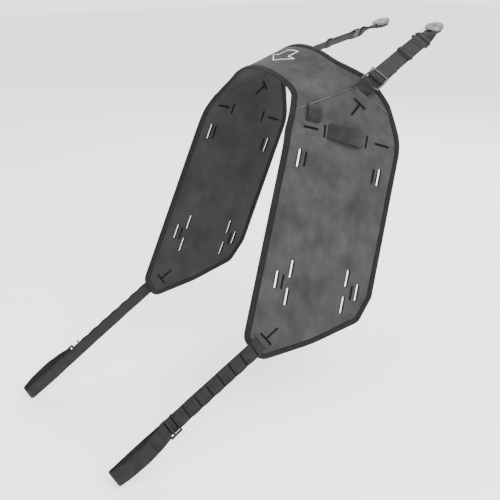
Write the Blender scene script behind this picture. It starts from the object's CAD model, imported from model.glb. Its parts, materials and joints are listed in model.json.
"""Looks of the saddle-over harness: coated cloth, bound edges, webbing, threads and metal."""
import json
import math

import bpy
import numpy as np
from mathutils import Matrix, Vector
from mathutils.geometry import delaunay_2d_cdt


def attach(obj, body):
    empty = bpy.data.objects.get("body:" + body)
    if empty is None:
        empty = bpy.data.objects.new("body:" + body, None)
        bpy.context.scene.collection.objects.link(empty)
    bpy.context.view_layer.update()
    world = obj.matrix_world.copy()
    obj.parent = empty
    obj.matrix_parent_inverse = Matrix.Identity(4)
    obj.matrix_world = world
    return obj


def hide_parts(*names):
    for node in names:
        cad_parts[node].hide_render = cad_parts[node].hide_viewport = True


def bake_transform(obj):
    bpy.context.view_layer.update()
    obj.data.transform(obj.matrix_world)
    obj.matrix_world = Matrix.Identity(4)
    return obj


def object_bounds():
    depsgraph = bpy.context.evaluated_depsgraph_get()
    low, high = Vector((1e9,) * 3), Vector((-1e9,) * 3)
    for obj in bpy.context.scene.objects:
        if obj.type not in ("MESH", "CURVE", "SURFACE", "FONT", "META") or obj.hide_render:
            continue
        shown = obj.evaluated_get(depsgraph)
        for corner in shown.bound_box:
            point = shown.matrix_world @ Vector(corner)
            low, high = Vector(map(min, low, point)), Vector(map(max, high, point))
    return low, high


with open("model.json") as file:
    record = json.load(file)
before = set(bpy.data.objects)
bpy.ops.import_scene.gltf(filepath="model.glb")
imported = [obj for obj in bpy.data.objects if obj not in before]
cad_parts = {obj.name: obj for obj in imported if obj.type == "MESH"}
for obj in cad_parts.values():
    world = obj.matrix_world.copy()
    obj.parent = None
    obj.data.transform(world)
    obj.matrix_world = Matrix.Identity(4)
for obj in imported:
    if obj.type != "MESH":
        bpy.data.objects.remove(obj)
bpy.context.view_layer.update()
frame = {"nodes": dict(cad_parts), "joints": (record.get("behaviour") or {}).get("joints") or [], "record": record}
JOINTS = {j["name"]: j for j in frame["joints"]}
MOUNTS = {m["name"]: m for m in frame["record"]["mounts"]}

# ---- the cone that the cloth lies on, metres ----------------------------------------------
RISE = math.radians(16.7)
SPLAY = math.radians(11.56)
TURN = math.pi / 2 - SPLAY
CROWN = 0.145
APEX = 1.565
LEFT = np.array([1.0, 0.0, 0.0])
UP = np.array([0.0, -math.sin(RISE), math.cos(RISE)])
REAR = np.array([0.0, math.cos(RISE), math.sin(RISE)])
LEG_DOWN = LEFT * math.sin(SPLAY) - UP * math.cos(SPLAY)
LEG_START = CROWN * (LEFT * math.sin(TURN) + UP * (math.cos(TURN) - 1))
LEG_NORMAL = np.cross(LEG_START + APEX * REAR, LEG_DOWN)
LEG_NORMAL = LEG_NORMAL / np.linalg.norm(LEG_NORMAL) * np.sign(LEG_NORMAL[0])
FOLD = CROWN * math.radians(45)
LEG_U = CROWN * TURN
TOP_BRIDGE = 0.0009
TOP_PANEL = 0.0018
UNDER = -0.0012

# ---- webbing, bars and slots --------------------------------------------------------------
TAPE = 0.0013
WEBBING_WIDTH, LOOP_WIDTH = 0.030, 0.027
HALF_WEBBING = WEBBING_WIDTH / 2
WRAP_RADIUS = 0.00225
MIDDLE_BAR_AT = 0.022
SLOT_HALF, SLOT_RADIUS = 0.016, 0.003
SLOT_TILT = math.radians(18.5)
SEAM_STEP = 0.003


def unit(vectors):
    """Vectors scaled to length one."""
    return vectors / np.linalg.norm(vectors, axis=-1, keepdims=True)


def tangents(path):
    return unit(np.gradient(path, axis=0))


def lengths_along(path):
    """Distance of each point of a path from its start."""
    return np.concatenate([[0], np.cumsum(np.linalg.norm(np.diff(path, axis=0), axis=1))])


def place(flat, height):
    """Points of the left side, from (u, v), round from the ridge and to the rear, and a height."""
    flat = np.asarray(flat, float)
    u, v, h = np.broadcast_arrays(flat[..., 0], flat[..., 1], np.asarray(height, float))
    radius = CROWN * (1 + v / APEX)
    angle = np.clip(u / CROWN, -TURN, TURN)
    leg = np.clip(u - LEG_U, 0, None)
    on_leg = np.clip((u - LEG_U + 0.004) / 0.008, 0, 1)[..., None]
    radial = np.sin(angle)[..., None] * LEFT + np.cos(angle)[..., None] * UP
    normal = unit(radial * (1 - on_leg) + LEG_NORMAL * on_leg)
    points = v[..., None] * REAR + radius[..., None] * radial - radius[..., None] * UP
    return points + leg[..., None] * LEG_DOWN + h[..., None] * normal


def cloth_normals(flat, height=0.0):
    """Outward normals of the cloth at (u, v) points."""
    return unit(place(flat, np.asarray(height) + 0.001) - place(flat, height))


def unroll(points, height):
    """The (u, v) of points of the left side that stand at a height out of the cloth."""
    points = np.asarray(points, float)
    v = points @ REAR
    radius = CROWN * (1 + v / APEX)
    angle = np.arctan2(points[:, 0], points @ UP + radius)
    flat_points = points - LEG_NORMAL * height
    flat_v = flat_points @ REAR
    flat_radius = CROWN * (1 + flat_v / APEX)
    leg = (flat_radius * (math.cos(TURN) - 1) - flat_points @ UP) / math.cos(SPLAY)
    on_leg = leg > 0
    u = np.where(on_leg, LEG_U + leg, np.minimum(angle, TURN) * CROWN)
    return np.stack([u, np.where(on_leg, flat_v, v)], -1)


# ---- meshes -------------------------------------------------------------------------------
def mirrored(name):
    """The right side's name for a left node or body."""
    return name.replace("_left", "_right")


def new_object(name, verts, faces, uvs, material, smooth=True):
    """A mesh object with one material."""
    mesh = bpy.data.meshes.new(name)
    mesh.from_pydata([tuple(p) for p in verts], [], [tuple(int(i) for i in f) for f in faces])
    if uvs is not None:
        layer = mesh.uv_layers.new(name="UVMap")
        index = np.zeros(len(mesh.loops), int)
        mesh.loops.foreach_get("vertex_index", index)
        layer.data.foreach_set("uv", np.asarray(uvs, np.float32)[index].ravel())
    mesh.materials.append(material)
    mesh.validate()
    if smooth:
        mesh.shade_smooth()
    obj = bpy.data.objects.new(name, mesh)
    bpy.context.scene.collection.objects.link(obj)
    return obj


def both_sides(name, shape, material, hold, replaces=()):
    """Makes a left piece and its mirror image, and fastens each to its bodies."""
    verts, faces, uvs = shape
    verts = np.asarray(verts, float)
    made = []
    for side in ("left", "right"):
        flip = np.array([1.0 if side == "left" else -1.0, 1.0, 1.0])
        order = faces if side == "left" else [tuple(reversed(tuple(f))) for f in faces]
        obj = new_object(f"{name}_{side}", verts * flip, order, uvs, material)
        if isinstance(hold, str):
            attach(obj, hold if side == "left" else mirrored(hold))
        else:
            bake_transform(obj)
        for node in replaces:
            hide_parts(node if side == "left" else mirrored(node))
        made.append(obj)
    return made


def join(*shapes):
    """One shape from several (verts, faces, uvs) shapes."""
    verts, faces, uvs, count = [], [], [], 0
    for v, f, t in shapes:
        verts.append(np.asarray(v, float))
        faces += [tuple(int(i) + count for i in face) for face in f]
        uvs.append(np.asarray(t, float))
        count += len(v)
    return np.vstack(verts), faces, np.vstack(uvs)


def tube_faces(rings, sides, closed=False):
    """Faces between rings of points, each ring joined to the next."""
    faces = []
    for i in range(rings if closed else rings - 1):
        j = (i + 1) % rings
        for a in range(sides):
            b = (a + 1) % sides
            faces.append((i * sides + a, i * sides + b, j * sides + b, j * sides + a))
    return faces


def sweep(path, across, normal, section, closed=False):
    """Sweeps a closed section, in (across, normal) steps, along a path of points."""
    path, across, normal = (np.asarray(a, float) for a in (path, across, normal))
    section = np.asarray(section, float)
    if section.ndim == 2:
        section = np.broadcast_to(section, (len(path),) + section.shape)
    n, k = section.shape[:2]
    verts = path[:, None] + section[..., :1] * across[:, None] + section[..., 1:] * normal[:, None]
    uvs = np.stack([np.repeat(lengths_along(path), k), section[..., 0].ravel()], -1)
    faces = tube_faces(n, k, closed)
    if not closed:
        faces.append(tuple(range(k))[::-1])
        faces.append(tuple(range((n - 1) * k, n * k)))
    return verts.reshape(-1, 3), faces, uvs


def band_section(width, thickness, crown=0.0):
    """Cross-section of webbing with soft edges."""
    half = width / 2
    across = np.linspace(-half, half, 13)
    side = np.clip((half - np.abs(across)) / (thickness * 0.8), 0, 1)
    thick = thickness / 2 * np.sqrt(1 - (1 - side) ** 2 * 0.75)
    arch = crown * (1 - (across / half) ** 2)
    return np.vstack([np.stack([across, arch + thick], -1), np.stack([across, arch - thick], -1)[::-1]])


def smooth_noise(count, spacing, seed):
    """A gentle random wave along a path, between about -1 and 1."""
    generator = np.random.default_rng(seed)
    knots = generator.uniform(-1, 1, max(4, int(count / spacing) + 4))
    x = np.linspace(0, len(knots) - 1.001, count)
    i = x.astype(int)
    t = x - i
    t = t * t * (3 - 2 * t)
    return knots[i] * (1 - t) + knots[i + 1] * t


def resample(points, step, closed=False):
    """Evenly spaced points along a path."""
    points = np.asarray(points, float)
    if closed:
        points = np.vstack([points, points[:1]])
    lengths = lengths_along(points)
    count = max(2, int(round(lengths[-1] / step)) + 1)
    at = np.linspace(0, lengths[-1], count)
    out = np.stack([np.interp(at, lengths, points[:, c]) for c in range(points.shape[1])], -1)
    return out[:-1] if closed else out


def inside(points, loop):
    """Which (u, v) points lie inside a loop."""
    points = np.asarray(points, float)
    result = np.zeros(len(points), bool)
    ends = np.roll(loop, -1, axis=0)
    for (x0, y0), (x1, y1) in zip(loop, ends):
        crosses = (y0 > points[:, 1]) != (y1 > points[:, 1])
        slope = (x1 - x0) / (y1 - y0) if y1 != y0 else 0.0
        result ^= crosses & (points[:, 0] < x0 + (points[:, 1] - y0) * slope)
    return result


def distance_to(points, line):
    """Distance from (u, v) points to a polyline."""
    best = np.full(len(points), 1e9)
    for a, b in zip(line[:-1], line[1:]):
        d = b - a
        t = np.clip(((points - a) @ d) / max(d @ d, 1e-12), 0, 1)
        best = np.minimum(best, np.linalg.norm(points - a - t[:, None] * d, axis=1))
    return best


# ---- outlines, read from the CAD pieces ---------------------------------------------------
def face_loops(node, h):
    """Boundary loops, as (u, v), of the CAD faces that lie h out of the cloth."""
    mesh = frame["nodes"][node].data
    points = np.array([v.co for v in mesh.vertices], float)
    _, first, merged = np.unique(np.round(points, 5), axis=0, return_index=True, return_inverse=True)
    merged = merged.ravel()
    points = points[first]
    uv = unroll(points, h)
    level = np.linalg.norm(place(uv, h) - points, axis=1) < 0.00025
    edges = {}
    for polygon in mesh.polygons:
        ring = [int(merged[i]) for i in polygon.vertices]
        if not all(level[i] for i in ring):
            continue
        centre = points[ring].mean(axis=0)
        out = cloth_normals(unroll(centre[None], h)[0])
        if abs(np.array(polygon.normal) @ out) < 0.85:
            continue
        for a, b in zip(ring, ring[1:] + ring[:1]):
            edges[(a, b)] = edges.get((a, b), 0) + 1
    rim = {a: b for (a, b) in edges if (b, a) not in edges}
    loops = []
    while rim:
        start = next(iter(rim))
        loop = [start]
        step = rim.pop(start)
        while step != start and step in rim:
            loop.append(step)
            step = rim.pop(step)
        loops.append(uv[loop])
    return sorted(loops, key=lambda loop: -len(loop) * np.ptp(loop[:, 0]))


def area(loop):
    """Signed area of a loop."""
    x, y = loop[:, 0], loop[:, 1]
    return 0.5 * np.sum(x * np.roll(y, -1) - y * np.roll(x, -1))


def read_outlines():
    """The whole edge of the left half, the skin's edge, its slots and the pointed seam."""
    panel = face_loops("panel_lining_left", UNDER)[0]
    bridge = face_loops("bridge_lining", UNDER)[0]
    fold_u = panel[:, 0].min()
    front_corner = int(np.argmin(np.where(panel[:, 0] < fold_u + 0.001, panel[:, 1], 9)))
    outer = np.roll(panel, -front_corner, axis=0)
    if area(outer) > 0:
        outer = np.vstack([outer[:1], outer[1:][::-1]])
    if outer[1, 0] < fold_u + 0.001 and outer[1, 1] > outer[0, 1] + 0.02:
        outer = np.vstack([outer[:1], outer[1:][::-1]])
    half = bridge[bridge[:, 0] > -0.0001]
    front = half[half[:, 1] < 0]
    rear = half[half[:, 1] > 0]
    front = front[np.argsort(front[:, 0])]
    rear = rear[np.argsort(-rear[:, 0])]
    line = np.vstack([[[0.0, front[0, 1]]], front, outer, rear, [[0.0, rear[-1, 1]]]])
    keep = np.concatenate([[True], np.linalg.norm(np.diff(line, axis=0), axis=1) > 0.0004])
    whole = resample(line[keep], 0.003)
    loops = face_loops("panel_skin_left", TOP_PANEL)
    skin = loops[0]
    holes = [loop for loop in loops[1:] if np.ptp(loop[:, 1]) > 0.004 or np.ptp(loop[:, 0]) > 0.02]
    far = distance_to(skin, whole) > 0.004
    start = next(i for i in range(len(skin)) if far[i] and not far[i - 1])
    skin = np.roll(skin, -(start - 1), axis=0)
    far = np.roll(far, -(start - 1))
    last = next(i for i in range(1, len(skin)) if not far[i])
    seam = skin[:last + 1]
    if seam[0, 1] > seam[-1, 1]:
        seam = seam[::-1]
    return whole, skin, holes, seam


whole, skin_loop, slot_loops, seam = read_outlines()
along_ridge = np.linspace(whole[-1], whole[0], 40)[1:-1]


# ---- materials ----------------------------------------------------------------------------
class Paint:
    """A material in the making, with short ways to add nodes to it."""

    def __init__(self, name, space):
        self.made = bpy.data.materials.new(name)
        self.made.use_nodes = True
        self.nodes, self.links = self.made.node_tree.nodes, self.made.node_tree.links
        self.nodes.clear()
        self.shader = self.nodes.new("ShaderNodeBsdfPrincipled")
        output = self.nodes.new("ShaderNodeOutputMaterial")
        self.links.new(self.shader.outputs["BSDF"], output.inputs["Surface"])
        self.space = self.nodes.new("ShaderNodeTexCoord").outputs[space]

    def texture(self, kind, output="Fac", **settings):
        node = self.nodes.new("ShaderNodeTex" + kind)
        for key, value in settings.items():
            socket = key.replace("_", " ")
            if socket in node.inputs:
                node.inputs[socket].default_value = value
            else:
                setattr(node, key, value)
        self.links.new(self.space, node.inputs["Vector"])
        return node.outputs[output]

    def ramp(self, factor, *stops):
        """Colours, or greys given as numbers, at places of a factor."""
        node = self.nodes.new("ShaderNodeValToRGB")
        self.links.new(factor, node.inputs["Fac"])
        while len(node.color_ramp.elements) < len(stops):
            node.color_ramp.elements.new(0.5)
        for element, (at, colour) in zip(node.color_ramp.elements, stops):
            element.position = at
            element.color = (*(colour if isinstance(colour, tuple) else (colour,) * 3), 1.0)
        return node.outputs["Color"]

    def multiply(self, factor, first, second):
        node = self.nodes.new("ShaderNodeMix")
        node.data_type = "RGBA"
        node.blend_type = "MULTIPLY"
        node.inputs["Factor"].default_value = factor
        self.links.new(first, node.inputs["A"])
        self.links.new(second, node.inputs["B"])
        return node.outputs["Result"]

    def across(self, half_width):
        """Distance from the middle of a band, as a share of its half width."""
        split = self.nodes.new("ShaderNodeSeparateXYZ")
        self.links.new(self.space, split.inputs["Vector"])
        size, share = (self.nodes.new("ShaderNodeMath") for _ in range(2))
        size.operation, share.operation = "ABSOLUTE", "DIVIDE"
        self.links.new(split.outputs["Y"], size.inputs[0])
        self.links.new(size.outputs["Value"], share.inputs[0])
        share.inputs[1].default_value = half_width
        return share.outputs["Value"]

    def set(self, **values):
        """Sets inputs of the shader to numbers, or links them to sockets."""
        for name, value in values.items():
            socket = self.shader.inputs[name.replace("_", " ")]
            if isinstance(value, float):
                socket.default_value = value
            else:
                self.links.new(value, socket)

    def bump(self, *layers):
        """Adds bump layers, each (height socket, strength, distance)."""
        normal = None
        for height, strength, distance in layers:
            node = self.nodes.new("ShaderNodeBump")
            node.inputs["Strength"].default_value = strength
            node.inputs["Distance"].default_value = distance
            self.links.new(height, node.inputs["Height"])
            if normal is not None:
                self.links.new(normal, node.inputs["Normal"])
            normal = node.outputs["Normal"]
        self.set(Normal=normal)


def darker(colour, share):
    return tuple(part * share for part in colour)


def coated_cloth(name, dark, light, roughness):
    """Coated canvas: cloudy colour, faint weave under the coating, soft scuffs."""
    paint = Paint(name, "UV")
    clouds = paint.texture("Noise", Scale=14.0, Detail=6.0, Roughness=0.62)
    patches = paint.texture("Noise", Scale=55.0, Detail=5.0, Roughness=0.7)
    grain = paint.texture("Noise", Scale=420.0, Detail=3.0)
    warp = paint.texture("Wave", "Color", Scale=420.0, bands_direction="X")
    weft = paint.texture("Wave", "Color", Scale=420.0, bands_direction="Y")
    tone = paint.ramp(clouds, (0.34, dark), (0.66, light))
    scuffs = paint.ramp(patches, (0.3, 0.84), (0.7, 1.16))
    gloss = paint.ramp(patches, (0.3, roughness - 0.06), (0.7, roughness + 0.08))
    paint.set(Base_Color=paint.multiply(1.0, tone, scuffs), Roughness=gloss, Specular_IOR_Level=0.12)
    weave = paint.multiply(1.0, warp, weft)
    paint.bump((clouds, 0.12, 0.004), (grain, 0.10, 0.0005), (weave, 0.10, 0.0002))
    return paint.made


def woven(name, dark, light, ribs, roughness, sheen, half_width=None):
    """Webbing or tape: ribs across its length, yarns along it, worn lighter in places."""
    paint = Paint(name, "UV")
    rib = paint.texture("Wave", Scale=ribs, bands_direction="X", Distortion=0.6, Detail=1.0,
                        Detail_Scale=3.0)
    yarn = paint.texture("Wave", Scale=ribs * 0.62, bands_direction="Y")
    worn = paint.texture("Noise", Scale=60.0, Detail=5.0, Roughness=0.65)
    fuzz = paint.texture("Noise", Scale=1500.0, Detail=2.0)
    colour = paint.ramp(worn, (0.32, dark), (0.70, light))
    colour = paint.multiply(0.75, colour, paint.ramp(rib, (0.0, 0.62), (0.75, 1.12)))
    colour = paint.multiply(0.6, colour, paint.ramp(yarn, (0.0, 0.8), (0.6, 1.06)))
    if half_width:
        rim = paint.ramp(paint.across(half_width), (0.78, 1.0), (0.90, 0.50), (0.97, 1.25))
        colour = paint.multiply(1.0, colour, rim)
    paint.set(Base_Color=colour, Roughness=roughness, Specular_IOR_Level=0.15,
              Sheen_Weight=sheen, Sheen_Roughness=0.5)
    paint.bump((rib, 0.55, 0.0005), (yarn, 0.35, 0.0003), (fuzz, 0.15, 0.0002))
    return paint.made


def thread(name, colour):
    paint = Paint(name, "Object")
    twist = paint.texture("Noise", Scale=1800.0, Detail=2.0)
    paint.set(Base_Color=paint.ramp(twist, (0.3, darker(colour, 0.7)), (0.7, colour)), Roughness=0.85,
              Specular_IOR_Level=0.12)
    return paint.made


def metal(name, colour, roughness, grain=0.1):
    paint = Paint(name, "Object")
    wear = paint.texture("Noise", Scale=220.0, Detail=5.0, Roughness=0.7)
    speck = paint.texture("Noise", Scale=1500.0, Detail=3.0)
    tone = paint.ramp(wear, (0.35, darker(colour, 0.78)), (0.68, colour))
    rough = paint.ramp(wear, (0.3, roughness + grain), (0.7, roughness - grain / 2))
    paint.set(Base_Color=tone, Roughness=rough, Metallic=1.0)
    paint.bump((speck, 0.12, 0.0002))
    return paint.made


def plain(name, colour, roughness):
    paint = Paint(name, "Object")
    speck = paint.texture("Noise", Scale=900.0, Detail=3.0)
    paint.set(Base_Color=paint.ramp(speck, (0.3, darker(colour, 0.85)), (0.7, colour)), Roughness=roughness)
    paint.bump((speck, 0.15, 0.0002))
    return paint.made


CLOTH = coated_cloth("coated_cloth", (0.017, 0.0173, 0.0177), (0.034, 0.0343, 0.035), 0.66)
LINING = coated_cloth("lining_cloth", (0.0115, 0.0116, 0.0119), (0.0215, 0.0217, 0.0221), 0.70)
BINDING = woven("binding_tape", (0.0045, 0.0045, 0.0044), (0.0100, 0.0098, 0.0095), 430.0, 0.85, 0.02)
WEBBING = woven("webbing", (0.0058, 0.0058, 0.0061), (0.0145, 0.0147, 0.0156), 300.0, 0.78, 0.05,
                HALF_WEBBING)
THREAD = thread("thread", (0.002, 0.002, 0.002))
SEWING = thread("sewing_thread", (0.006, 0.006, 0.006))
CUT_EDGE = plain("cut_edge", (0.085, 0.085, 0.087), 0.7)
PRINT = plain("print", (0.78, 0.78, 0.77), 0.5)
GUNMETAL = metal("gunmetal", (0.075, 0.075, 0.078), 0.30)
DARK_METAL = metal("dark_metal", (0.030, 0.030, 0.031), 0.34)
SATIN = metal("satin_disc", (0.175, 0.177, 0.183), 0.30, 0.06)
RUBBER = plain("rubber_pad", (0.018, 0.018, 0.019), 0.75)

# ---- where the cloth bends from the bridge to a panel -------------------------------------
FOLD_START = Vector(place((FOLD - 0.006, 0.0), 0.0))
FOLD_END = Vector(place((FOLD + 0.006, 0.0), 0.0))
ACROSS_FOLD = ("bridge", "panel_left", FOLD_START, FOLD_END)


# ---- cloth --------------------------------------------------------------------------------
def cloth_piece(outer, holes, top, low, spacing, extra=()):
    """A closed piece of cloth between two heights: inside the outer loop, outside the holes."""
    u = np.arange(outer[:, 0].min(), outer[:, 0].max(), spacing)
    v = np.arange(outer[:, 1].min(), outer[:, 1].max(), spacing * 0.866)
    grid_u, grid_v = np.meshgrid(u, v)
    grid_u = grid_u + (np.arange(len(v)) % 2)[:, None] * spacing / 2
    grid = np.stack([grid_u.ravel(), grid_v.ravel()], -1)
    for ring in extra:
        grid = np.vstack([grid[~inside(grid, ring)], ring])
    keep = inside(grid, outer)
    for hole in holes:
        keep &= ~inside(grid, hole)
    grid = grid[keep]
    rims = [outer] + list(holes)
    clear = np.ones(len(grid), bool)
    for rim in rims:
        clear &= distance_to(grid, np.vstack([rim, rim[:1]])) > 0.0005
    grid = grid[clear]
    points, edges = list(map(tuple, grid)), []
    for rim in rims:
        base = len(points)
        points += list(map(tuple, rim))
        edges += [(base + i, base + (i + 1) % len(rim)) for i in range(len(rim))]
    out, _, faces, _, _, _ = delaunay_2d_cdt([Vector(p) for p in points], edges, [], 0, 1e-7, False)
    flat = np.array([tuple(p) for p in out])
    triangles = np.array([tuple(f) for f in faces])
    middle = flat[triangles].mean(axis=1)
    keep = inside(middle, outer)
    for hole in holes:
        keep &= ~inside(middle, hole)
    triangles = triangles[keep]
    first, second, third = flat[triangles.T]
    sense = np.cross(second - first, third - first)
    triangles[sense > 0] = triangles[sense > 0][:, ::-1]
    count = len(flat)
    upper = place(flat, top(flat) if callable(top) else top)
    lower = place(flat, low(flat) if callable(low) else low)
    faces = [tuple(t) for t in triangles] + [tuple(t[::-1] + count) for t in triangles]
    sides = {(int(t[i - 1]), int(t[i])): True for t in triangles for i in (1, 2, 0)}
    faces += [(b, a, a + count, b + count) for a, b in sides if (b, a) not in sides]
    return np.vstack([upper, lower]), faces, np.vstack([flat, flat])


def slot_axis(loop):
    """Middle and long direction of a slot in (u, v)."""
    middle = (loop.max(axis=0) + loop.min(axis=0)) / 2
    _, _, axes = np.linalg.svd(loop - middle)
    return middle, axes[0]


def ring_round(loop, grow):
    """Points round a slot, at a distance outside its edge."""
    middle, axis = slot_axis(loop)
    side = np.array([-axis[1], axis[0]])
    half = SLOT_HALF - SLOT_RADIUS
    radius = SLOT_RADIUS + grow
    ring = []
    for sign in (1, -1):
        for angle in np.linspace(-math.pi / 2, math.pi / 2, 11):
            out = axis * (half + radius * math.cos(angle)) + side * radius * math.sin(angle)
            ring.append(middle + sign * out)
    return np.array(ring)


SLOT_AXES = [slot_axis(loop) for loop in slot_loops]


def slot_distance(flat):
    """Distance outside the nearest slot's edge."""
    best = np.full(len(flat), 1.0)
    for middle, axis in SLOT_AXES:
        reach = axis * (SLOT_HALF - SLOT_RADIUS)
        ends = np.array([middle - reach, middle + reach])
        best = np.minimum(best, distance_to(flat, ends) - SLOT_RADIUS)
    return best


def cloudy(flat, size, seed):
    """Soft random height over the cloth, between about -1 and 1."""
    generator = np.random.default_rng(seed)
    total = np.zeros(len(flat))
    for _ in range(9):
        direction = generator.normal(size=2)
        direction /= np.linalg.norm(direction)
        phase = generator.uniform(0, 2 * math.pi)
        total += np.sin(flat @ direction * 2 * math.pi / (size * generator.uniform(0.7, 1.6)) + phase)
    return total / 3.5


def ridge(distance, middle, spread):
    """A soft ridge, one high, at a distance from a line."""
    return np.exp(-((distance - middle) / spread) ** 2)


def edge_pinch(flat):
    """The dip beside the edge binding."""
    return -0.0005 * ridge(distance_to(flat, whole), 0.0115, 0.003)


def skin_height(flat):
    slots = slot_distance(flat)
    lip = 0.00045 * ridge(slots, 0.0016, 0.0011) - 0.00035 * ridge(slots, 0.0, 0.0006)
    seam_near = distance_to(flat, seam)
    puff = 0.00035 * ridge(seam_near, 0.006, 0.004) - 0.0002 * ridge(seam_near, 0.0025, 0.0009)
    return TOP_PANEL + 0.0003 + lip + edge_pinch(flat) + puff + 0.0004 * cloudy(flat, 0.09, 3)


def lining_height(flat):
    lip = 0.0004 * ridge(slot_distance(flat), 0.0016, 0.0011)
    return UNDER - 0.0003 - lip - edge_pinch(flat) * 0.6 - 0.0004 * cloudy(flat, 0.08, 5)


def bridge_height(flat):
    return TOP_BRIDGE + 0.0002 + edge_pinch(flat) + 0.0005 * cloudy(flat, 0.07, 9)


def clip_whole(limit, top_side=True):
    """Loop of the left half above (or below) a line of (u, v) points from front to rear."""
    crossing = []
    for index in range(len(whole) - 1):
        for a, b in zip(limit[:-1], limit[1:]):
            p, r = whole[index], whole[index + 1] - whole[index]
            q, s = a, b - a
            bottom = r[0] * s[1] - r[1] * s[0]
            if abs(bottom) < 1e-14:
                continue
            t = ((q[0] - p[0]) * s[1] - (q[1] - p[1]) * s[0]) / bottom
            k = ((q[0] - p[0]) * r[1] - (q[1] - p[1]) * r[0]) / bottom
            if 0 <= t < 1 and 0 <= k <= 1:
                crossing.append((index, p + t * r))
    (front, at_front), (rear, at_rear) = crossing[0], crossing[-1]
    between = [p for p in limit if at_front[1] + 0.001 < p[1] < at_rear[1] - 0.001]
    if top_side:
        loop = [*whole[:front + 1], at_front, *between, at_rear, *whole[rear + 1:]]
        return np.array([*loop, *along_ridge])
    return np.array([at_front, *whole[front + 1:rear + 1], at_rear, *between[::-1]])


def seam_line(shift):
    """The pointed seam moved down the panel by shift and run past both edges."""
    line = resample(seam, SEAM_STEP) + np.array([shift, 0.0])
    first = line[0] + (line[0] - line[3]) * 4
    last = line[-1] + (line[-1] - line[-4]) * 4
    return np.vstack([first, line, last])


def cloth_pair(name, shape, made_of, hold, replaced):
    """A left piece of cloth and its mirror image, with the size each was cut to."""
    pieces = both_sides(name, shape, made_of, hold, replaced)


def make_cloth():
    """Lining, panel skin and bridge cloth of both sides."""
    rings = [ring_round(loop, grow) for loop in slot_loops for grow in (0.0042, 0.0026, 0.0016, 0.0008)]
    skin = clip_whole(seam_line(0.0), top_side=False)
    bridge = clip_whole(seam_line(0.012))
    half = np.vstack([whole, along_ridge])
    cloth_pair("lining_cloth", cloth_piece(half, slot_loops, -0.0001, lining_height, 0.0050, rings), LINING,
               ACROSS_FOLD, ("panel_lining_left",))
    cloth_pair("skin_cloth", cloth_piece(skin, slot_loops, skin_height, 0.0004, 0.0045, rings), CLOTH,
               "panel_left", ("panel_skin_left", "panel_stiffener_left"))
    cloth_pair("bridge_cloth", cloth_piece(bridge, [], bridge_height, 0.0, 0.0042), CLOTH,
               ACROSS_FOLD, ("wing_sheet_left",))


def make_slot_edges():
    """The dark cut edge inside every slot."""
    shapes = []
    for loop in slot_loops:
        line = resample(loop, 0.001, closed=True)
        middle = (UNDER + TOP_PANEL) / 2
        points = place(line, middle)
        normals = cloth_normals(line, middle)
        tangent = unit(np.roll(points, -1, axis=0) - np.roll(points, 1, axis=0))
        section = [(0.0003, 0.0019), (-0.0003, 0.0019), (-0.0003, -0.0019), (0.0003, -0.0019)]
        shapes.append(sweep(points, np.cross(tangent, normals), normals, section, closed=True))
    both_sides("slot_edges", join(*shapes), THREAD, "panel_left")


def inward(line):
    """Unit normals of a (u, v) line, pointing to the cloth's inside."""
    tangent = tangents(line)
    normal = np.stack([-tangent[:, 1], tangent[:, 0]], -1)
    probe = line[len(line) // 2] + normal[len(line) // 2] * 0.004
    if not inside(probe[None], np.vstack([whole, [whole[0]]]))[0]:
        normal = -normal
    return normal


def edge_top(line):
    """Height of the cloth under the binding: the skin adds a layer below the seam."""
    below = inside(line + inward(line) * 0.004, skin_loop).astype(float)
    smooth = np.convolve(np.pad(below, 2, mode="edge"), np.ones(5) / 5, mode="valid")
    return TOP_BRIDGE + (TOP_PANEL - TOP_BRIDGE) * smooth


def make_binding():
    """The tape folded over the whole edge of the cloth."""
    line = whole
    normal = inward(line)
    top = edge_top(line) + 0.0002
    low = np.full(len(line), UNDER - 0.0002)
    one_side = [(0.0102, 0.00005), (0.0100, 0.0006), (0.0092, 0.00095), (0.0060, 0.0010),
                (0.0025, 0.0011), (0.0006, 0.0008), (-0.0004, 0.0001)]
    profile = [(q, 1, rise) for q, rise in one_side] + [(-0.0009, 0, 0.0)]
    profile += [(q, -1, rise) for q, rise in reversed(one_side)]
    wobble = smooth_noise(len(line), 6, 21) * 0.00025
    rows, uvs = [], []
    along = lengths_along(line)
    for number, (q, side, rise) in enumerate(profile):
        shift = q + (wobble if q > 0.009 else 0.0)
        flat = line + normal * np.broadcast_to(shift, len(line))[:, None]
        height = (top + rise) if side == 1 else (low - rise) if side == -1 else (top + low) / 2
        flat[:, 0] = np.maximum(flat[:, 0], 0.0)
        rows.append(place(flat, height))
        uvs.append(np.stack([along, np.full(len(line), number * 0.0016)], -1))
    verts = np.stack(rows, axis=1).reshape(-1, 3)
    uv = np.stack(uvs, axis=1).reshape(-1, 2)
    faces = [(a, d, c, b) for a, b, c, d in tube_faces(len(line), len(profile))]
    both_sides("edge_binding", (verts, faces, uv), BINDING, ACROSS_FOLD,
               ("panel_binding_left",))


# ---- stitches -----------------------------------------------------------------------------
STITCH_FACES = tube_faces(5, 5)
TACK_PITCH = 0.00062


def dash(start, end, normal, radius, lift):
    """One stitch: a thread that rises from one hole and sinks into the next."""
    start, end, normal = (np.asarray(a, float) for a in (start, end, normal))
    tangent = end - start
    length = np.linalg.norm(tangent)
    tangent /= length
    side = np.cross(tangent, normal)
    verts = []
    for t, height in ((0.0, -0.4), (0.15, 0.75), (0.5, 1.0), (0.85, 0.75), (1.0, -0.4)):
        centre = start + tangent * length * t + normal * lift * height
        size = radius * (0.55 if t in (0.0, 1.0) else 1.0)
        for a in range(5):
            angle = 2 * math.pi * a / 5
            verts.append(centre + side * size * math.cos(angle) + normal * size * math.sin(angle))
    return verts


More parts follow.
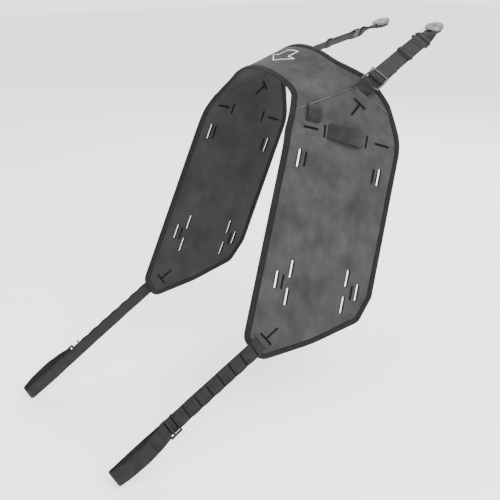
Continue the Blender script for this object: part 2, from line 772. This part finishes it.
def sewn(stitches):
    """One shape from stitches, each given as dash takes it."""
    verts, faces = [], []
    for stitch in stitches:
        faces += [tuple(i + len(verts) for i in face) for face in STITCH_FACES]
        verts += dash(*stitch)
    return np.array(verts), faces, np.zeros((len(verts), 2))


def stitch_row(points, normals, stitch, gap, radius=0.00022, lift=0.00022):
    """A row of stitches along points."""
    points, normals = np.asarray(points, float), np.asarray(normals, float)
    lengths = lengths_along(points)
    stitches = []
    at = gap
    while at + stitch < lengths[-1]:
        start, end = ([np.interp(x, lengths, column) for column in points.T] for x in (at, at + stitch))
        normal = [np.interp(at + stitch / 2, lengths, column) for column in normals.T]
        stitches.append((start, end, unit(normal), radius, lift))
        at += stitch + gap
    return sewn(stitches)


def cloth_row(flat, height, stitch=0.0026, gap=0.0009, under=False, radius=0.00022):
    """A row of stitches along a (u, v) line on the cloth."""
    normals = cloth_normals(flat, height) * (-1 if under else 1)
    return stitch_row(place(flat, height), normals, stitch, gap, radius)


def make_stitches():
    """Stitches of the binding and the seam, and the seam's cut edge."""
    normal = inward(whole)
    line = whole + normal * 0.0082
    line[:, 0] = np.maximum(line[:, 0], 0.0002)
    top = edge_top(whole) + 0.0002 + 0.00100
    rows = [cloth_row(line, top), cloth_row(line, np.full(len(line), UNDER - 0.0012), under=True)]
    both_sides("binding_stitches", join(*rows), SEWING, ACROSS_FOLD)
    trimmed = resample(seam, SEAM_STEP)
    trimmed = trimmed[distance_to(trimmed, whole) > 0.009]
    down = trimmed + np.array([0.0026, 0.0])
    seam_rows = [cloth_row(down, skin_height(down) + 0.0001),
                 cloth_row(down, lining_height(down) - 0.0001, under=True, radius=0.0003)]
    both_sides("seam_stitches", join(*seam_rows), SEWING, "panel_left")
    points = place(trimmed, TOP_BRIDGE + 0.0006)
    normals = cloth_normals(trimmed, TOP_BRIDGE + 0.0006)
    tangent = tangents(points)
    section = [(0.00055 * math.cos(a), 0.00075 * math.sin(a)) for a in np.linspace(0, 2 * math.pi, 7)[:-1]]
    both_sides("seam_cut_edge", sweep(points, np.cross(tangent, normals), normals, section), CUT_EDGE,
               "panel_left")


# ---- thread blocks, at the places of the CAD tacks ----------------------------------------
def loose_solids(node):
    """Vertices of each separate solid of a CAD node."""
    mesh = frame["nodes"][node].data
    points = np.array([v.co for v in mesh.vertices], float)
    _, merged = np.unique(np.round(points, 5), axis=0, return_inverse=True)
    merged = merged.ravel()
    parent = list(range(int(merged.max()) + 1))

    def root(i):
        while parent[i] != i:
            parent[i] = parent[parent[i]]
            i = parent[i]
        return i

    for edge in mesh.edges:
        a, b = root(int(merged[edge.vertices[0]])), root(int(merged[edge.vertices[1]]))
        parent[a] = b
    groups = {}
    for i in range(len(points)):
        groups.setdefault(root(int(merged[i])), []).append(points[i])
    return [np.array(g) for g in groups.values()]


def thread_block(centre, long, short, normal, length, width, height):
    """A bar tack: threads laid side by side across a narrow strip."""
    stitches = []
    count = int(length / TACK_PITCH)
    for i in range(count):
        at = centre + long * ((i + 0.5) / count - 0.5) * length
        lean = long * 0.00025 * (1 if i % 2 else -1)
        wide = width * (0.96 + 0.08 * ((i * 7) % 5) / 4)
        reach = short * wide / 2 + lean
        stitches.append((at - reach, at + reach, normal, 0.00034, height))
    return sewn(stitches)


def tack_frames(node):
    """Middle, long and short directions, length and width of each tack of a CAD node."""
    found = []
    for points in loose_solids(node):
        points = np.unique(np.round(points, 6), axis=0)
        middle = points.mean(axis=0)
        _, _, axes = np.linalg.svd(points - middle)
        spans = [np.ptp((points - middle) @ axis) for axis in axes]
        found.append((middle, axes[0], axes[1], axes[2], spans[0], spans[1]))
    return found


def cloth_block(middle, long, short, length, width, height, side):
    """A bar tack on the cloth, in (u, v), with its threads on the curved surface."""
    stitches = []
    for i in range(int(length / TACK_PITCH)):
        at = middle + long * ((i + 0.5) * TACK_PITCH - length / 2)
        lean = long * 0.00025 * (1 if i % 2 else -1)
        wide = width * (0.92 + 0.12 * ((i * 7) % 5) / 4)
        reach = short * wide / 2 + lean
        flat = np.array([at - reach, at + reach])
        stitches.append((*place(flat, height(flat)), cloth_normals(at) * side, 0.00058, 0.0005))
    return sewn(stitches)


def narrow_patch(flat):
    """Middle, long and short directions, length and width of the smallest rectangle round points."""
    best = None
    for angle in np.radians(np.arange(0, 180, 0.5)):
        long = np.array([math.cos(angle), math.sin(angle)])
        short = np.array([-long[1], long[0]])
        along, aside = flat @ long, flat @ short
        length, width = np.ptp(along), np.ptp(aside)
        if length >= width and (best is None or length * width < best[0]):
            middle = long * (along.max() + along.min()) / 2 + short * (aside.max() + aside.min()) / 2
            best = (length * width, middle, long, short, length, width)
    return best[1:]


def make_tacks():
    """The bar tacks on both faces of the panels and on the lower straps."""
    outer, inner = [], []
    for points in loose_solids("bar_tacks_left"):
        middle, long, short, length, width = narrow_patch(unroll(points, TOP_PANEL))
        width *= 1.25
        patch = (middle, long, short, length, width)
        outer.append(cloth_block(*patch, lambda flat: skin_height(flat) + 0.0003, 1))
        inner.append(cloth_block(*patch, lambda flat: lining_height(flat) - 0.0003, -1))
    both_sides("bar_tacks", join(*outer), THREAD, "panel_left", ("bar_tacks_left",))
    both_sides("inner_tacks", join(*inner), THREAD, "panel_left")
    rows = []
    for middle, long, short, normal, length, width in tack_frames("chain_tacks_left"):
        if normal[0] < 0:
            normal = -normal
        rows.append(thread_block(middle - normal * 0.0003, long, short, normal, length, width, 0.0004))
    both_sides("chain_tacks", join(*rows), THREAD, "lower_run_left", ("chain_tacks_left",))


# ---- strap frames, read from the joints and mounts ----------------------------------------
class Chain:
    """A strap's own frame: distances along it and heights over its face, from one point."""

    def __init__(self, origin, aim, face):
        self.origin = np.asarray(origin, float)
        self.aim = np.asarray(aim, float) / np.linalg.norm(aim)
        face = np.asarray(face, float) - self.aim * (np.asarray(face, float) @ self.aim)
        self.face = face / np.linalg.norm(face)
        self.across = np.cross(self.aim, self.face)

    def point(self, along, height, sideways=0.0):
        return self.origin + self.aim * along + self.face * height + self.across * sideways

    def where(self, point):
        step = np.asarray(point, float) - self.origin
        return step @ self.aim, step @ self.face


def joint_point(name):
    return np.array(JOINTS[name]["pos_m"], float)


UPPER_HOOK = joint_point("upper_hook_tilt_left")
ANCHOR = joint_point("anchor_tilt_left")
BUCKLE_BAR = joint_point("buckle_tilt_left")
DISC_NORMAL = np.array(MOUNTS["anchor_bolt_left"]["axis"], float)
HOOK_AXIS = np.array(JOINTS["upper_hook_tilt_left"]["axis"], float)
upper = Chain(BUCKLE_BAR, ANCHOR - UPPER_HOOK, np.cross(HOOK_AXIS, ANCHOR - UPPER_HOOK))
HOOK_AT, RUN_HEIGHT = upper.where(UPPER_HOOK)
OPEN_BAR_AT, _ = upper.where(ANCHOR)
DISC_AT, _ = upper.where(MOUNTS["anchor_bolt_left"]["pos_m"])

SWING = joint_point("lower_strap_swing_left")
LOOP_FOLD = joint_point("loop_open_left")
LOWER_HOOK = joint_point("lower_hook_tilt_left")
LOWER_RUN = LOOP_FOLD - SWING
lower = Chain(SWING, LOWER_RUN - LEG_NORMAL * (LOWER_RUN @ LEG_NORMAL), LEG_NORMAL)
FOLD_AT, FOLD_TOP = lower.where(LOOP_FOLD)
HOOK_BAR_AT, HOOK_BAR_UP = lower.where(LOWER_HOOK)


def strap(chain, path, seed, wave=0.0002, edge_wave=0.0003, step=0.002):
    """Webbing along a path of (along, height) points in a chain's frame."""
    flat = resample(np.asarray(path, float), step)
    n = len(flat)
    tangent = tangents(flat)
    lift = smooth_noise(n, 8, seed) * wave
    slip = smooth_noise(n, 14, seed + 50) * edge_wave
    roll = smooth_noise(n, 12, seed + 90) * 0.02
    normals = -tangent[:, 1:] * chain.aim + tangent[:, :1] * chain.face
    points = chain.origin + flat[:, :1] * chain.aim + flat[:, 1:] * chain.face
    points = points + normals * lift[:, None] + chain.across * slip[:, None]
    across = chain.across + normals * roll[:, None]
    return sweep(points, across, normals, band_section(WEBBING_WIDTH, TAPE))


def arc(centre, radius, first, last, count=16):
    """Points of an arc in a chain's frame; angles in degrees, 0 along, 90 outward."""
    angles = np.radians(np.linspace(first, last, count))
    return np.stack([centre[0] + radius * np.cos(angles), centre[1] + radius * np.sin(angles)], -1)


def sewn_row(chain, along, height, half=HALF_WEBBING - 0.002, stitch=0.0024, gap=0.0008):
    """A row of stitches across a strap."""
    across = np.linspace(-half, half, 20)
    points = np.array([chain.point(along, height, a) for a in across])
    normals = np.tile(chain.face, (len(across), 1))
    return stitch_row(points, normals, stitch, gap, 0.0002)


def sewn_line(chain, path, sideways):
    """A row of stitches along a strap, at a distance from its middle."""
    flat = resample(np.asarray(path, float), 0.004)
    points = np.array([chain.point(a, h, sideways) for a, h in flat])
    tangent = tangents(flat)
    normals = -tangent[:, 1:] * chain.aim + tangent[:, :1] * chain.face
    return stitch_row(points, normals, 0.0026, 0.0009, 0.0002)


def make_upper_straps():
    """Main run, keeper and tail of each upper strap."""
    height = RUN_HEIGHT
    top, low = height + TAPE / 2, height - TAPE / 2
    # Main run: over the buckle's middle bar, under its top bar, then round the hook's bar.
    lead = [(MIDDLE_BAR_AT - 0.0028, 0.0012), (MIDDLE_BAR_AT - 0.0012, 0.0030),
            (MIDDLE_BAR_AT + 0.003, low), (HOOK_AT - 0.008, low),
            (HOOK_AT - 0.002, height - WRAP_RADIUS + 0.0001)]
    wrap = arc((HOOK_AT, height), WRAP_RADIUS, -90, 90)
    back = [(HOOK_AT - 0.006, top + 0.0004), (HOOK_AT - 0.012, top), (HOOK_AT - 0.066, top)]
    run = strap(upper, np.vstack([lead, wrap, back]), seed=4, wave=0.0001)
    both_sides("upper_webbing", run, WEBBING, "upper_run_left", ("upper_strap_left",))
    on_top = top + TAPE / 2 + 0.0001
    rows = [sewn_row(upper, HOOK_AT - at, on_top) for at in (0.0640, 0.0460, 0.0125, 0.0105)]
    rows += [sewn_line(upper, [(HOOK_AT - 0.045, on_top), (HOOK_AT - 0.011, on_top)], sideways)
             for sideways in (-0.0125, 0.0125)]
    both_sides("upper_sewing", join(*rows), SEWING, "upper_run_left")
    # Keeper: a narrow elastic band that holds the tail against the main run.
    at = HOOK_AT - 0.056
    half_up, middle = 0.0022, height + 0.0006
    there = np.append(np.linspace(-0.0158, 0.0158, 12), 0.0164)
    across = np.concatenate([there, -there])
    rise = np.concatenate([np.full(12, half_up), [0.0], np.full(12, -half_up), [0.0]])
    points = np.array([upper.point(at, middle + r, a) for a, r in zip(across, rise)])
    centre = upper.point(at, middle)
    normals = points - centre
    normals -= upper.aim * (normals @ upper.aim)[:, None]
    normals = unit(np.where(np.abs(rise)[:, None] > 0.001, np.sign(rise)[:, None] * upper.face, normals))
    keeper = sweep(points, np.tile(upper.aim, (len(points), 1)), normals, band_section(0.010, 0.0010),
                   closed=True)
    both_sides("strap_keeper", keeper, WEBBING, "upper_run_left")
    # Tail: round the middle bar and back under the main run.
    tail = np.vstack([[(MIDDLE_BAR_AT + 0.020, 0.0019), (MIDDLE_BAR_AT + 0.004, 0.00195)],
                      arc((MIDDLE_BAR_AT - 0.0007, 0.0), 0.00195, 90, 270),
                      [(MIDDLE_BAR_AT + 0.004, -0.00195), (MIDDLE_BAR_AT + 0.030, -0.0020),
                       (MIDDLE_BAR_AT + 0.061, -0.0026)]])
    tongue = [(MIDDLE_BAR_AT + 0.006, -0.0034), (MIDDLE_BAR_AT - 0.004, -0.0036),
              (MIDDLE_BAR_AT - 0.0125, -0.0044)]
    shape = join(strap(upper, tail, seed=8, wave=0.0001), strap(upper, tongue, seed=9, wave=0.0001))
    both_sides("tail_webbing", shape, WEBBING, "buckle_left", ("strap_tail_left",))


def make_hook_plates():
    """The flat plate of each upper hook, between its bars, with a narrow slit."""
    first, last = HOOK_AT + 0.0036, OPEN_BAR_AT - 0.0036
    middle, edge = (first + last) / 2, 0.0154
    pieces = []
    strips = [(first, middle - 0.0012, -edge, edge), (middle + 0.0012, last, -edge, edge),
              (middle - 0.0013, middle + 0.0013, -edge, -0.0045),
              (middle - 0.0013, middle + 0.0013, 0.0085, edge)]
    for low, high, left_end, right_end in strips:
        across = np.linspace(left_end, right_end, 8)
        points = np.array([upper.point((low + high) / 2, RUN_HEIGHT, a) for a in across])
        pieces.append(sweep(points, np.tile(upper.aim, (8, 1)), np.tile(upper.face, (8, 1)),
                            band_section(high - low, 0.0018)))
    both_sides("hook_plate", join(*pieces), DARK_METAL, "upper_hook_left")


def rolled(angle):
    """Across and face directions of the upper strap, turned about it by angles."""
    angle = np.asarray(angle, float)[..., None]
    across = upper.across * np.cos(angle) + upper.face * np.sin(angle)
    face = upper.face * np.cos(angle) - upper.across * np.sin(angle)
    return across, face


def anchor_roll(along):
    """How far the anchor's webbing has twisted towards the disc's plane, in radians."""
    full = math.atan2(-DISC_NORMAL @ upper.across, DISC_NORMAL @ upper.face)
    first, last = OPEN_BAR_AT + 0.004, DISC_AT - 0.0185
    turn = np.clip((np.asarray(along, float) - first) / (last - first), 0, 1)
    return full * turn * turn * (3 - 2 * turn)


def make_anchor_loops():
    """Doubled webbing from the hook's open bar, twisting into the plane of the disc."""
    half = TAPE / 2
    low_run = np.array([(DISC_AT + 0.001, -half), (OPEN_BAR_AT + 0.010, -half),
                        (OPEN_BAR_AT + 0.002, 0.0001 - WRAP_RADIUS)])
    top_run = low_run[::-1] * (1, -1)
    around = arc((OPEN_BAR_AT, 0.0), WRAP_RADIUS, 270, 90)
    flat = resample(np.vstack([low_run, around, top_run]), 0.0018)
    across, face = rolled(anchor_roll(flat[:, 0]))
    tangent = tangents(flat)
    normals = -tangent[:, 1:] * upper.aim + tangent[:, :1] * face
    centres = upper.point(0.0, RUN_HEIGHT) + flat[:, :1] * upper.aim + flat[:, 1:] * face
    loop = sweep(centres, across, normals, band_section(WEBBING_WIDTH, TAPE))
    # The end under the disc: two round layers of webbing.
    caps = []
    disc_across, _ = rolled(anchor_roll(DISC_AT))
    for level in (-half, half):
        centre = upper.point(DISC_AT, RUN_HEIGHT) + DISC_NORMAL * level
        angles = np.linspace(0, 2 * math.pi, 41)[:-1, None]
        radial = np.cos(angles) * upper.aim + np.sin(angles) * disc_across
        thick = TAPE * 0.45
        section = [(0.0, thick), (-0.0116, thick), (-0.0116, -thick), (0.0, -thick), (0.0004, 0.0)]
        facing = np.tile(DISC_NORMAL, (40, 1))
        caps.append(sweep(centre + HALF_WEBBING * radial, radial, facing, section, closed=True))
    both_sides("anchor_webbing", join(loop, *caps), WEBBING, "anchor_left",
               ("anchor_loop_left",))
    rows = []
    for at in (0.0115, 0.0135):
        row_across, row_face = rolled(anchor_roll(OPEN_BAR_AT + at))
        sideways = np.linspace(-0.013, 0.013, 20)[:, None]
        points = upper.point(OPEN_BAR_AT + at, RUN_HEIGHT) + row_face * (TAPE + 0.0001)
        points = points + row_across * sideways
        rows.append(stitch_row(points, np.tile(row_face, (20, 1)), 0.0024, 0.0008, 0.0002))
    both_sides("anchor_sewing", join(*rows), SEWING, "anchor_left")


def under_seam(shape):
    """Tucks the part of a shape that is past the seam down between the layers of cloth."""
    verts, faces, uvs = shape
    flat = unroll(verts, TOP_BRIDGE)
    seam_at = np.interp(flat[:, 1], seam[:, 1], seam[:, 0])
    past = flat[:, 0] - seam_at
    surface = place(flat, 0.0)
    normal = cloth_normals(flat)
    height = np.sum((verts - surface) * normal, axis=1)
    sunk = np.minimum(height * 0.3, 0.0006) - 0.0004 - 0.02 * past
    tucked = place(np.stack([seam_at + np.minimum(past * 0.5, 0.006), flat[:, 1]], -1), sunk)
    return np.where(((past > 0) & (height > -0.004))[:, None], tucked, verts), faces, uvs


def make_stubs():
    """Doubled webbing from under the seam, up to and round the buckle's lower bar."""
    half = TAPE / 2
    before_bar = [BUCKLE_BAR - upper.aim * 0.016, BUCKLE_BAR - upper.aim * 0.032]
    landing, beyond = unroll(before_bar, 0.006)
    heading = unit(beyond - landing)
    on_cloth = [landing + heading * far for far in (0.0, 0.007, 0.024)]
    heights = (TOP_BRIDGE + 0.0020, TOP_BRIDGE + 0.0012, TOP_BRIDGE - 0.0012)
    feet = place(on_cloth, heights)
    middle = smooth_curve(np.array([BUCKLE_BAR, *feet]), 48)
    cloth_normal = cloth_normals(landing)
    tangent = tangents(middle)
    turn = np.clip(np.linspace(0, 1, len(middle))[:, None] * 1.6, 0, 1)
    on_surface = np.cross(tangent, cloth_normal)
    on_surface *= np.sign(on_surface @ upper.across)[:, None]
    across = upper.across * (1 - turn) + on_surface * turn
    across -= tangent * np.sum(across * tangent, axis=1)[:, None]
    across = unit(across)
    outward = np.cross(across, tangent)
    outward *= np.sign(outward @ cloth_normal)[:, None]
    away = np.linalg.norm(middle - BUCKLE_BAR, axis=1)
    open_by = half + (WRAP_RADIUS - half) * np.clip(1 - away / 0.007, 0, 1) ** 2
    start = int(np.argmax(away > 0.002))
    top = middle + outward * open_by[:, None]
    low = middle - outward * open_by[:, None]
    angles = np.radians(np.linspace(75, -75, 11))[:, None]
    around = outward[start] * np.sin(angles) - tangent[start] * np.cos(angles)
    round_bar = BUCKLE_BAR + WRAP_RADIUS * around
    path = np.vstack([top[start:][::-1], round_bar, low[start:]])
    sideways = np.vstack([across[start:][::-1], np.tile(across[start], (11, 1)), across[start:]])
    run = tangents(path)
    sideways -= run * np.sum(sideways * run, axis=1)[:, None]
    sideways = unit(sideways)
    shape = under_seam(sweep(path, sideways, np.cross(sideways, run), band_section(WEBBING_WIDTH, TAPE)))
    both_sides("stub_webbing", shape, WEBBING, "panel_left", ("stub_webbing_left",))


def make_panel_loops():
    """The upright and cross loops under the seam, arched off the skin."""
    down = np.array([0, -math.sin(SLOT_TILT), -math.cos(SLOT_TILT)])
    rearward = np.array([0, math.cos(SLOT_TILT), -math.sin(SLOT_TILT)])
    specs = [("loop_upright", down, 0.032, 0.0078, 0.0, 31),
             ("loop_cross", rearward, 0.072, 0.0127, 0.0035, 37)]
    for name, direction, length, height, shift, phase in specs:
        points = np.array([v.co for v in frame["nodes"][name + "_left"].data.vertices], float)
        middle = (points.max(axis=0) + points.min(axis=0)) / 2
        ends = unroll(np.array([middle - direction * 0.01, middle + direction * 0.01]), 0.005)
        heading = unit(ends[1] - ends[0])
        half = length / 2
        s = np.linspace(-half - 0.001, half + 0.001, 41)
        arch = height * np.clip(1 - np.abs(s / half) ** 2.6, 0, 1) - 0.0005
        arch += 0.0003 * np.sin(3.1 * s / half + phase)
        flat = ends.mean(axis=0) + heading * (s - shift)[:, None]
        path = place(flat, TOP_PANEL + arch)
        tangent = np.gradient(path, axis=0)
        across = unit(np.cross(cloth_normals(flat), tangent))
        normals = unit(np.cross(tangent, across))
        shape = sweep(path, across, normals, band_section(LOOP_WIDTH, TAPE, 0.0006))
        both_sides(name + "_webbing", shape, WEBBING, "panel_left", (name + "_left",))


def make_slit_bars():
    """The raised lip where the lower strap comes out of the panel, with its own stitches."""
    points = np.array([v.co for v in frame["nodes"]["slit_bar_left"].data.vertices], float)
    middle = points.mean(axis=0)
    _, _, axes = np.linalg.svd(points - middle)
    long = axes[0] - LEG_NORMAL * (axes[0] @ LEG_NORMAL)
    on_cloth = place(unroll(middle[None], 0.003)[0], TOP_PANEL)
    lip = Chain(middle - LEG_NORMAL * ((middle - on_cloth) @ LEG_NORMAL), long, LEG_NORMAL)
    half, lip_radius = 0.0238, 0.0026
    s = np.linspace(-half, half, 40)
    scale = np.sqrt(np.clip(1 - (np.abs(s) / half) ** 6, 0.02, 1))
    angles = np.linspace(0, math.pi, 9)
    section = np.stack([np.cos(angles) * lip_radius, np.sin(angles) * lip_radius], -1)
    section = np.vstack([section, [(-lip_radius, -0.0004), (lip_radius, -0.0004)]])
    sections = section[None] * scale[:, None, None]
    path = np.array([lip.point(a, 0.0) for a in s])
    shape = sweep(path, np.tile(lip.across, (40, 1)), np.tile(LEG_NORMAL, (40, 1)), sections)
    both_sides("slit_lip", shape, CLOTH, "panel_left", ("slit_bar_left",))
    rows = []
    for sideways in (-0.0052, 0.0045):
        rows.append(sewn_line(lip, [(-half, 0.00045), (half, 0.00045)], sideways))
    for at in (-half + 0.001, half - 0.001):
        rows.append(sewn_row(lip, at, lip_radius, lip_radius - 0.0002, stitch=0.0012, gap=0.0003))
    both_sides("slit_sewing", join(*rows), SEWING, "panel_left")


def make_lower_straps():
    """Base webbing, chain of loops and return run of each lower strap."""
    middle = -TAPE / 2
    pitch, first = 0.026, 0.013
    # Base webbing, from under the slit lip to the turn of the end loop.
    centre = (FOLD_AT, (middle + FOLD_TOP) / 2)
    radius = (FOLD_TOP - middle) / 2
    base = np.vstack([[(-0.0062, middle - 0.0002), (0.0, middle), (HOOK_BAR_AT, middle),
                       (HOOK_BAR_AT + 0.030, middle - 0.0006), (FOLD_AT - 0.040, middle - 0.0012),
                       (FOLD_AT - 0.012, middle - 0.0002)],
                      arc(centre, radius, -90, 90, 20)])
    at_slit = ("panel_left", "lower_run_left",
               Vector(lower.point(-0.005, middle)), Vector(lower.point(0.006, middle)))
    both_sides("lower_webbing", strap(lower, base, seed=61), WEBBING, at_slit,
               ("lower_strap_left",))
    # Daisy chain: puffed between the rows of thread.
    end = 0.208
    s = np.arange(0.0015, end, 0.0016)
    phase = ((s - first) / pitch) % 1.0
    puff = 0.0016 * np.sin(math.pi * phase) ** 1.4
    puff = np.where(s < first, 0.0004, puff)
    last = first + pitch * 7
    last_puff = 0.0009 * np.sin(math.pi * np.clip((s - last) / (end - last), 0, 1))
    puff = np.where(s > last, last_puff, puff)
    path = np.stack([s, TAPE / 2 + puff], -1)
    chain_cloth = strap(lower, path, seed=67, wave=0.00012, edge_wave=0.0004, step=0.0016)
    both_sides("daisy_webbing", chain_cloth, WEBBING, "lower_run_left", ("daisy_chain_left",))
    rows = [sewn_row(lower, end - at, TAPE + 0.0002) for at in (0.0025, 0.0045)]
    both_sides("daisy_sewing", join(*rows), SEWING, "lower_run_left")
    # Return run: from the turn to the hook's bar.
    top = FOLD_TOP
    run = [(FOLD_AT + 0.0004, top), (FOLD_AT - 0.020, top + 0.0042), (FOLD_AT - 0.052, top + 0.0064),
           (FOLD_AT - 0.080, top + 0.0036), (HOOK_BAR_AT + 0.010, HOOK_BAR_UP + 0.0049),
           (HOOK_BAR_AT + 0.002, HOOK_BAR_UP + WRAP_RADIUS)]
    curve = smooth_curve(run)
    backward = curve[::-1]

    def height_at(along):
        return np.interp(along, backward[:, 0], backward[:, 1])

    around = arc((HOOK_BAR_AT, HOOK_BAR_UP), WRAP_RADIUS, 90, 270)
    under = [(HOOK_BAR_AT + 0.003, HOOK_BAR_UP - WRAP_RADIUS + 0.0003)]
    for at in HOOK_BAR_AT + np.array([0.013, 0.020, 0.027, 0.034]):
        under.append((at, height_at(at) - TAPE * 1.06))
    path = np.vstack([curve, around, under])
    returned = strap(lower, path, seed=73)
    hinge_start = Vector(lower.point(FOLD_AT + 0.003, top))
    hinge_end = Vector(lower.point(FOLD_AT - 0.010, top))
    both_sides("return_webbing", returned, WEBBING,
               ("lower_run_left", "loop_return_left", hinge_start, hinge_end), ("loop_return_left",))
    rows = [sewn_row(lower, at, height_at(at) + TAPE / 2)
            for at in HOOK_BAR_AT + np.array([0.030, 0.032, 0.011, 0.013])]
    both_sides("return_sewing", join(*rows), SEWING, "loop_return_left")


def smooth_curve(knots, count=60):
    """A smooth curve through points."""
    knots = np.asarray(knots, float)
    padded = np.vstack([2 * knots[0] - knots[1], knots, 2 * knots[-1] - knots[-2]])
    out = []
    for i in range(1, len(padded) - 2):
        p0, p1, p2, p3 = padded[i - 1:i + 3]
        for t in np.linspace(0, 1, count // (len(knots) - 1), endpoint=False):
            out.append(0.5 * (2 * p1 + (p2 - p0) * t + (2 * p0 - 5 * p1 + 4 * p2 - p3) * t ** 2
                              + (3 * p1 - p0 - 3 * p2 + p3) * t ** 3))
    return np.vstack([out, knots[-1:]])


# ---- print on the bridge ------------------------------------------------------------------
def make_print():
    """A plain outlined arrow that points to the front."""
    corners = np.array([(0.0, -0.024), (0.030, 0.0), (0.013, 0.0), (0.013, 0.024), (-0.013, 0.024),
                        (-0.013, 0.0), (-0.030, 0.0)]) + 0.004
    verts, faces = [], []
    width = 0.0008
    n = len(corners)
    inner, outer = [], []
    for i in range(n):
        before, here, after = corners[i - 1], corners[i], corners[(i + 1) % n]
        a, b = unit(here - before), unit(after - here)
        na, nb = np.array([-a[1], a[0]]), np.array([-b[1], b[0]])
        mitre = (na + nb) / max(1 + na @ nb, 0.35)
        inner.append(here + mitre * width)
        outer.append(here - mitre * width)
    steps = 14
    for i in range(n):
        j = (i + 1) % n
        for k in range(steps + 1):
            t = k / steps
            for edge in (inner, outer):
                flat = edge[i] * (1 - t) + edge[j] * t
                height = bridge_height(np.array([[abs(flat[0]), flat[1]]]))[0]
                point = place((abs(flat[0]), flat[1]), height + 0.00018)
                verts.append(point * np.array([1.0 if flat[0] >= 0 else -1.0, 1.0, 1.0]))
        base = i * (steps + 1) * 2
        for k in range(steps):
            a = base + 2 * k
            faces.append((a, a + 1, a + 3, a + 2))
    obj = new_object("bridge_print", verts, faces, np.zeros((len(verts), 2)), PRINT)
    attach(obj, "bridge")


# ---- metal and pads: the CAD pieces themselves --------------------------------------------
def finish_metal():
    for name, made in (("buckle", GUNMETAL), ("upper_hook", DARK_METAL), ("lower_hook", DARK_METAL),
                       ("disc_cap", SATIN), ("disc_backing", RUBBER)):
        for side in ("left", "right"):
            node = frame["nodes"][f"{name}_{side}"]
            node.data.materials.clear()
            node.data.materials.append(made)


# ---- stage --------------------------------------------------------------------------------
def area_light(name, place_at, aim_at, size, power):
    data = bpy.data.lights.new(name, "AREA")
    data.shape = "RECTANGLE"
    data.size, data.size_y = size
    data.energy = power
    lamp = bpy.data.objects.new(name, data)
    lamp.location = place_at
    lamp.rotation_euler = (Vector(aim_at) - Vector(place_at)).to_track_quat("-Z", "Y").to_euler()
    lamp.visible_glossy = name != "back"
    bpy.context.scene.collection.objects.link(lamp)


def make_stage():
    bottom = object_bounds()[0][2] - 0.012
    size = 9.0
    corners = [(-size, -size, bottom), (size, -size, bottom), (size, size, bottom), (-size, size, bottom)]
    floor = new_object("floor", corners, [(0, 1, 2, 3)], None, plain("floor", (0.93, 0.93, 0.93), 0.85),
                       smooth=False)
    world = bpy.data.worlds.new("studio")
    world.use_nodes = True
    background = world.node_tree.nodes["Background"]
    background.inputs["Color"].default_value = (1.0, 1.0, 1.0, 1.0)
    background.inputs["Strength"].default_value = 2.3
    bpy.context.scene.world = world
    centre = (0.0, -0.1, -0.25)
    area_light("key", (2.3, -0.6, 1.7), centre, (1.6, 1.6), 130)
    area_light("front", (0.6, -2.4, 0.9), centre, (1.8, 1.4), 45)
    area_light("back", (-1.0, 2.0, 1.4), centre, (1.4, 1.4), 65)


def make_camera():
    data = bpy.data.cameras.new("camera")
    data.sensor_width = 36.0
    data.sensor_fit = "HORIZONTAL"
    data.lens = 61.94
    data.clip_start, data.clip_end = 0.05, 50.0
    camera = bpy.data.objects.new("camera", data)
    forward = Vector((-0.7581, 0.5585, -0.3366)).normalized()
    right = Vector((0.5932, 0.8051, 0.0)).normalized()
    above = right.cross(forward)
    turn = Matrix((right, above, -forward)).transposed()
    camera.matrix_world = Matrix.Translation((1.2425, -0.9840, 0.1940)) @ turn.to_4x4()
    bpy.context.scene.collection.objects.link(camera)
    bpy.context.scene.camera = camera


# ---- build --------------------------------------------------------------------------------
def hide_bridge_nodes():
    """The bridge's CAD sheets are shown by the cloth pieces of both halves."""
    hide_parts("wing_sheet_left", "bridge_sheet")
    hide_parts("panel_lining_left", "bridge_lining")
    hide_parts("panel_binding_left", "bridge_binding_front", "bridge_binding_rear")


make_cloth()
make_slot_edges()
make_binding()
make_stitches()
make_tacks()
make_upper_straps()
make_hook_plates()
make_anchor_loops()
make_stubs()
make_panel_loops()
make_slit_bars()
make_lower_straps()
make_print()
finish_metal()
hide_bridge_nodes()
make_stage()
make_camera()
